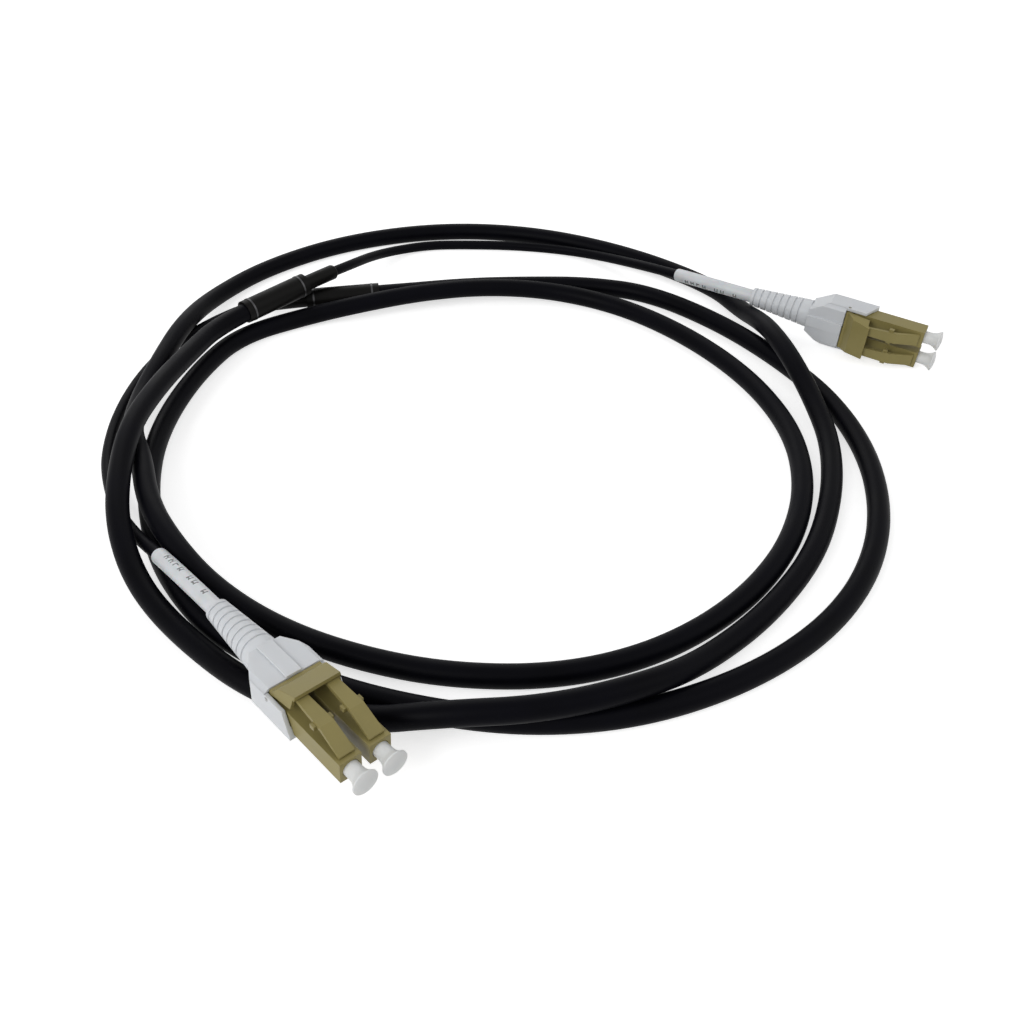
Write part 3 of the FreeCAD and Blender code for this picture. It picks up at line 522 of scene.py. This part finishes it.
def label_finish(name, colour, row_turn):
    """Printed sleeve: satin white with a row of plain strokes, centred on a turn of its skin.

    The map's first number is the distance along the sleeve and its second the turn.  The
    row is cut into cells of one length.  Each holds an upright stroke at its start, a level
    stroke at a chance height, and a second upright one in about half of the cells.
    """
    finish = Finish(name)
    split = finish.add("ShaderNodeSeparateXYZ")
    finish.join(finish.add("ShaderNodeUVMap", uv_map=SKIN_MAP).outputs["UV"],
                split.inputs["Vector"])
    distance, turn = split.outputs["X"], split.outputs["Y"]
    cell = finish.math("DIVIDE", distance, PRINT_CELL)
    number = finish.math("FLOOR", cell)
    part = finish.math("FRACT", cell)
    chance = finish.add("ShaderNodeTexWhiteNoise", noise_dimensions="1D")
    finish.join(number, chance.inputs["W"])
    first, second, third = [finish.chance_part(chance, word)
                            for word in ("Red", "Green", "Blue")]
    height = finish.math("FRACT", finish.math("ADD", turn, 0.5 - row_turn))
    height = finish.math("SUBTRACT", height, 0.5)
    upright = finish.math("COMPARE", part, *FIRST_UPRIGHT)
    other_end = finish.math("COMPARE", part, *SECOND_UPRIGHT)
    other_end = finish.math("MULTIPLY", other_end,
                            finish.math("GREATER_THAN", first, SINGLE_CELLS))
    level = finish.math("MULTIPLY_ADD", second, 2 * PRINT_HALF, -PRINT_HALF)
    bar = finish.math("COMPARE", height, level, PRINT_HALF * BAR_SHARE)
    bar = finish.math("MULTIPLY", bar, finish.math("COMPARE", part, *LEVEL_STROKE))
    strokes = finish.math("MAXIMUM", finish.math("MAXIMUM", upright, other_end), bar)
    filled = finish.math("GREATER_THAN", third, EMPTY_CELLS)
    row = finish.math("COMPARE", height, 0.0, PRINT_HALF)
    inside = finish.math("COMPARE", distance, *PRINTED_STRETCH)
    ink = finish.math("MULTIPLY", finish.math("MULTIPLY", strokes, filled),
                      finish.math("MULTIPLY", row, inside))
    bare = finish.tinted(finish.noise(300.0, 4.0), colour, 0.95, 1.06)
    finish.base(finish.mixed(finish.math("MULTIPLY", ink, INK_DEPTH), bare, INK))
    finish.set(Roughness=0.38, Subsurface_Weight=0.15, Subsurface_Scale=0.0003)
    return finish.material


def metal_finish(name, colour, roughness):
    """Plated or drawn metal with fine marks."""
    finish = Finish(name)
    marks = finish.noise(3000.0, 3.0)
    finish.base(finish.tinted(marks, colour, 0.94, 1.04))
    finish.set(Metallic=1.0, Roughness=roughness)
    finish.bump(marks, 0.08, 0.00001)
    return finish.material


def smooth_finish(name, colour, roughness):
    """Fine coating or polished ceramic."""
    return plastic_finish(name, colour, roughness, 0.02, 0.0)


def seen_directly(tree):
    """1 for rays from the camera and for those that gloss and glass send on, else 0."""
    rays = tree.nodes.new("ShaderNodeLightPath")
    seen = rays.outputs["Is Camera Ray"]
    for word in ("Is Glossy Ray", "Is Transmission Ray"):
        either = tree.nodes.new("ShaderNodeMath")
        either.operation = "MAXIMUM"
        tree.links.new(seen, either.inputs[0])
        tree.links.new(rays.outputs[word], either.inputs[1])
        seen = either.outputs["Value"]
    return seen


def floor_finish():
    """Pale floor: lit as any surface, and lifted to white where no shadow falls."""
    finish = Finish("floor")
    finish.set(Roughness=0.9, Specular_IOR_Level=0.0)
    finish.shader.inputs["Base Color"].default_value = (FLOOR_GREY,) * 3 + (1.0,)
    finish.shader.inputs["Emission Color"].default_value = (FLOOR_LIFT,) * 3 + (1.0,)
    finish.join(seen_directly(finish.tree), finish.shader.inputs["Emission Strength"])
    return finish.material


def dress(material, *nodes):
    """Gives CAD nodes a material, by their slots."""
    for node in nodes:
        thing = bpy.data.objects[node]
        if not thing.material_slots:
            thing.data.materials.append(material)
        for place in thing.material_slots:
            place.material = material


def of_both_ends(*stems):
    """Names of the nodes that both ends of the lead have."""
    return [stem + end for stem in stems for end in ENDS]


def of_all_plugs(*stems):
    """Names of the nodes that both halves of both plugs have."""
    return ["%s%s_%s" % (stem, side, end)
            for stem in stems for side in ("left", "right") for end in ENDS]


# --- operators ------------------------------------------------------------------------

class PATCHLEAD_OT_stage(bpy.types.Operator):
    """Camera, lamps, world and floor"""

    bl_idname = "patchlead.stage"
    bl_label = "Stage"

    def execute(self, context):
        settings = context.scene.patchlead_stage
        scene = context.scene
        lens = bpy.data.cameras.new("camera")
        lens.lens = settings.camera_lens
        lens.sensor_width = 36.0
        lens.clip_start = 0.01
        camera = bpy.data.objects.new("camera", lens)
        camera.location = settings.camera_place
        camera.rotation_euler = (math.pi / 2 - settings.camera_dip, 0.0, 0.0)
        scene.collection.objects.link(camera)
        scene.camera = camera
        scene.view_settings.view_transform = "Standard"
        for row in LAMPS:
            self.lamp(scene, *row)
        self.world(scene)
        half = settings.floor_size / 2
        mesh = bpy.data.meshes.new("floor")
        mesh.from_pydata([(-half, -half, 0), (half, -half, 0), (half, half, 0),
                          (-half, half, 0)], [], [(0, 1, 2, 3)])
        floor = bpy.data.objects.new("floor", mesh)
        scene.collection.objects.link(floor)
        mesh.materials.append(floor_finish())
        return {"FINISHED"}

    @staticmethod
    def lamp(scene, name, place, size, power):
        """Square softbox that faces the middle of the object."""
        light = bpy.data.lights.new(name, "AREA")
        light.size = size
        light.energy = power
        lamp = bpy.data.objects.new(name, light)
        lamp.location = place
        lamp.rotation_euler = (-Vector(place)).to_track_quat("-Z", "Y").to_euler()
        scene.collection.objects.link(lamp)

    @staticmethod
    def world(scene):
        """Even white surroundings: white where they are seen, dimmer as light."""
        world = bpy.data.worlds.new("surroundings")
        world.use_nodes = True
        scene.world = world
        tree = world.node_tree
        ground = tree.nodes["Background"]
        ground.inputs["Color"].default_value = (1.0, 1.0, 1.0, 1.0)
        strength = tree.nodes.new("ShaderNodeMapRange")
        strength.inputs["To Min"].default_value = WORLD_LIGHT
        strength.inputs["To Max"].default_value = 1.0
        tree.links.new(seen_directly(tree), strength.inputs["Value"])
        tree.links.new(strength.outputs["Result"], ground.inputs["Strength"])


class PATCHLEAD_OT_cords(bpy.types.Operator):
    """Trunk, leads, label sleeves and short sleeves"""

    bl_idname = "patchlead.cords"
    bl_label = "Cords"

    def execute(self, context):
        sizes = context.scene.patchlead_sizes
        colours = context.scene.patchlead_colours
        jacket = jacket_finish("jacket", colours.jacket)
        rubber = tube_finish("breakout_rubber", colours.tube)
        trunk = spline_object("trunk", trunk_points(), sizes.trunk_width)
        trunk.data.materials.append(jacket)
        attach(trunk, ROOT)
        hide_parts("trunk_cable")
        for end, length in (("a", 0.1822), ("b", 0.1870)):
            lead = spline_object("thin_lead_" + end, lead_points(end), sizes.lead_width)
            lead.data.materials.append(jacket)
            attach(lead, ROOT)
            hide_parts("lead_" + end)
            path = centreline(lead)
            sleeve = self.sleeve("short_sleeve_" + end, path, 0.0, sizes.sleeve_length,
                                 sizes.sleeve_width, SLEEVE_LIP, rubber, sizes.sides)
            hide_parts("small_sleeve_" + end)
            whole = along(path)[-1]
            label_end = whole - (BOOT_END - LEAD_START)
            label = label_finish("label_" + end, colours.label, PRINT_TURN[end])
            sign = self.sleeve("printed_sleeve_" + end, path, label_end - sizes.label_length,
                               label_end, sizes.label_width, LABEL_LIP, label, sizes.sides)
            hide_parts("label_sleeve_" + end)
        return {"FINISHED"}

    @staticmethod
    def sleeve(name, path, start, end, width, lip, material, sides):
        """Sleeve over a stretch of a cord, with rings crowded at its rounded ends.

        Of rings 0 to n, ring k lies at (1 - cos(pi k / n)) / 2 of the sleeve's length.
        """
        even = stretch(path, start, end, SLEEVE_POINTS)
        distance = along(even)
        reach = np.linspace(0.0, math.pi, SLEEVE_RINGS)
        places = (1.0 - np.cos(reach)) / 2 * distance[-1]
        points = np.stack([np.interp(places, distance, even[:, axis])
                           for axis in range(3)], axis=1)
        made = tube_object(name, points, rounded_radii(places, width / 2, lip), sides)
        made.data.materials.append(material)
        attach(made, ROOT)
        return made


class PATCHLEAD_OT_finishes(bpy.types.Operator):
    """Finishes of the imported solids"""

    bl_idname = "patchlead.finishes"
    bl_label = "Finishes"

    def execute(self, context):
        colours = context.scene.patchlead_colours
        dress(plastic_finish("beige_plastic", colours.plug, 0.42, 0.05, 0.00012),
              *of_all_plugs("housing_", "latch_"), *of_both_ends("trigger_"))
        dress(milky_finish("white_nylon", colours.nylon, 0.42, 0.0012, 0.00015),
              *of_both_ends("shell_lower_", "shell_cover_", "boot_"))
        dress(milky_finish("cap_plastic", colours.cap, 0.35, 0.0014, 0.0002),
              *of_all_plugs("dust_cap_"))
        dress(tube_finish("tube_rubber", colours.tube), *of_both_ends("breakout_tube_"))
        dress(metal_finish("bright_band", (0.06, 0.06, 0.062), 0.35),
              *of_both_ends("band_trunk_", "band_lead_"))
        dress(smooth_finish("ceramic", (0.85, 0.85, 0.82), 0.15), *of_all_plugs("ferrule_"))
        dress(smooth_finish("fibre_coating", (0.75, 0.75, 0.7), 0.3), *of_all_plugs("fibre_"))
        dress(metal_finish("nickel_plate", (0.6, 0.57, 0.52), 0.3),
              *of_all_plugs("holder_", "stop_"))
        dress(metal_finish("spring_steel", (0.5, 0.5, 0.5), 0.3), *of_all_plugs("spring_"))
        dress(metal_finish("crimp_metal", (0.6, 0.6, 0.6), 0.35), *of_both_ends("crimp_ring_"))
        return {"FINISHED"}


class PATCHLEAD_PT_panel(bpy.types.Panel):
    """Buttons and values of the patch lead"""

    bl_idname = "PATCHLEAD_PT_panel"
    bl_label = "Patch lead"
    bl_space_type = "VIEW_3D"
    bl_region_type = "UI"
    bl_category = "Patch lead"

    def draw(self, context):
        for operator in OPERATORS:
            self.layout.operator(operator.bl_idname)
        for name, group in GROUPS.items():
            values = getattr(context.scene, name)
            box = self.layout.box()
            for word in group.__annotations__:
                box.prop(values, word)


GROUPS = {
    "patchlead_sizes": LeadSizes,
    "patchlead_colours": LeadColours,
    "patchlead_stage": StageSettings,
}
OPERATORS = (PATCHLEAD_OT_stage, PATCHLEAD_OT_cords, PATCHLEAD_OT_finishes)


def register():
    for group in GROUPS.values():
        bpy.utils.register_class(group)
    for operator in OPERATORS:
        bpy.utils.register_class(operator)
    bpy.utils.register_class(PATCHLEAD_PT_panel)
    for name, group in GROUPS.items():
        setattr(bpy.types.Scene, name, PointerProperty(type=group))


def unregister():
    for name in GROUPS:
        delattr(bpy.types.Scene, name)
    bpy.utils.unregister_class(PATCHLEAD_PT_panel)
    for operator in reversed(OPERATORS):
        bpy.utils.unregister_class(operator)
    for group in reversed(GROUPS.values()):
        bpy.utils.unregister_class(group)


def main():
    register()
    bpy.ops.patchlead.stage()
    bpy.ops.patchlead.cords()
    bpy.ops.patchlead.finishes()


if __name__ == "__main__":
    main()
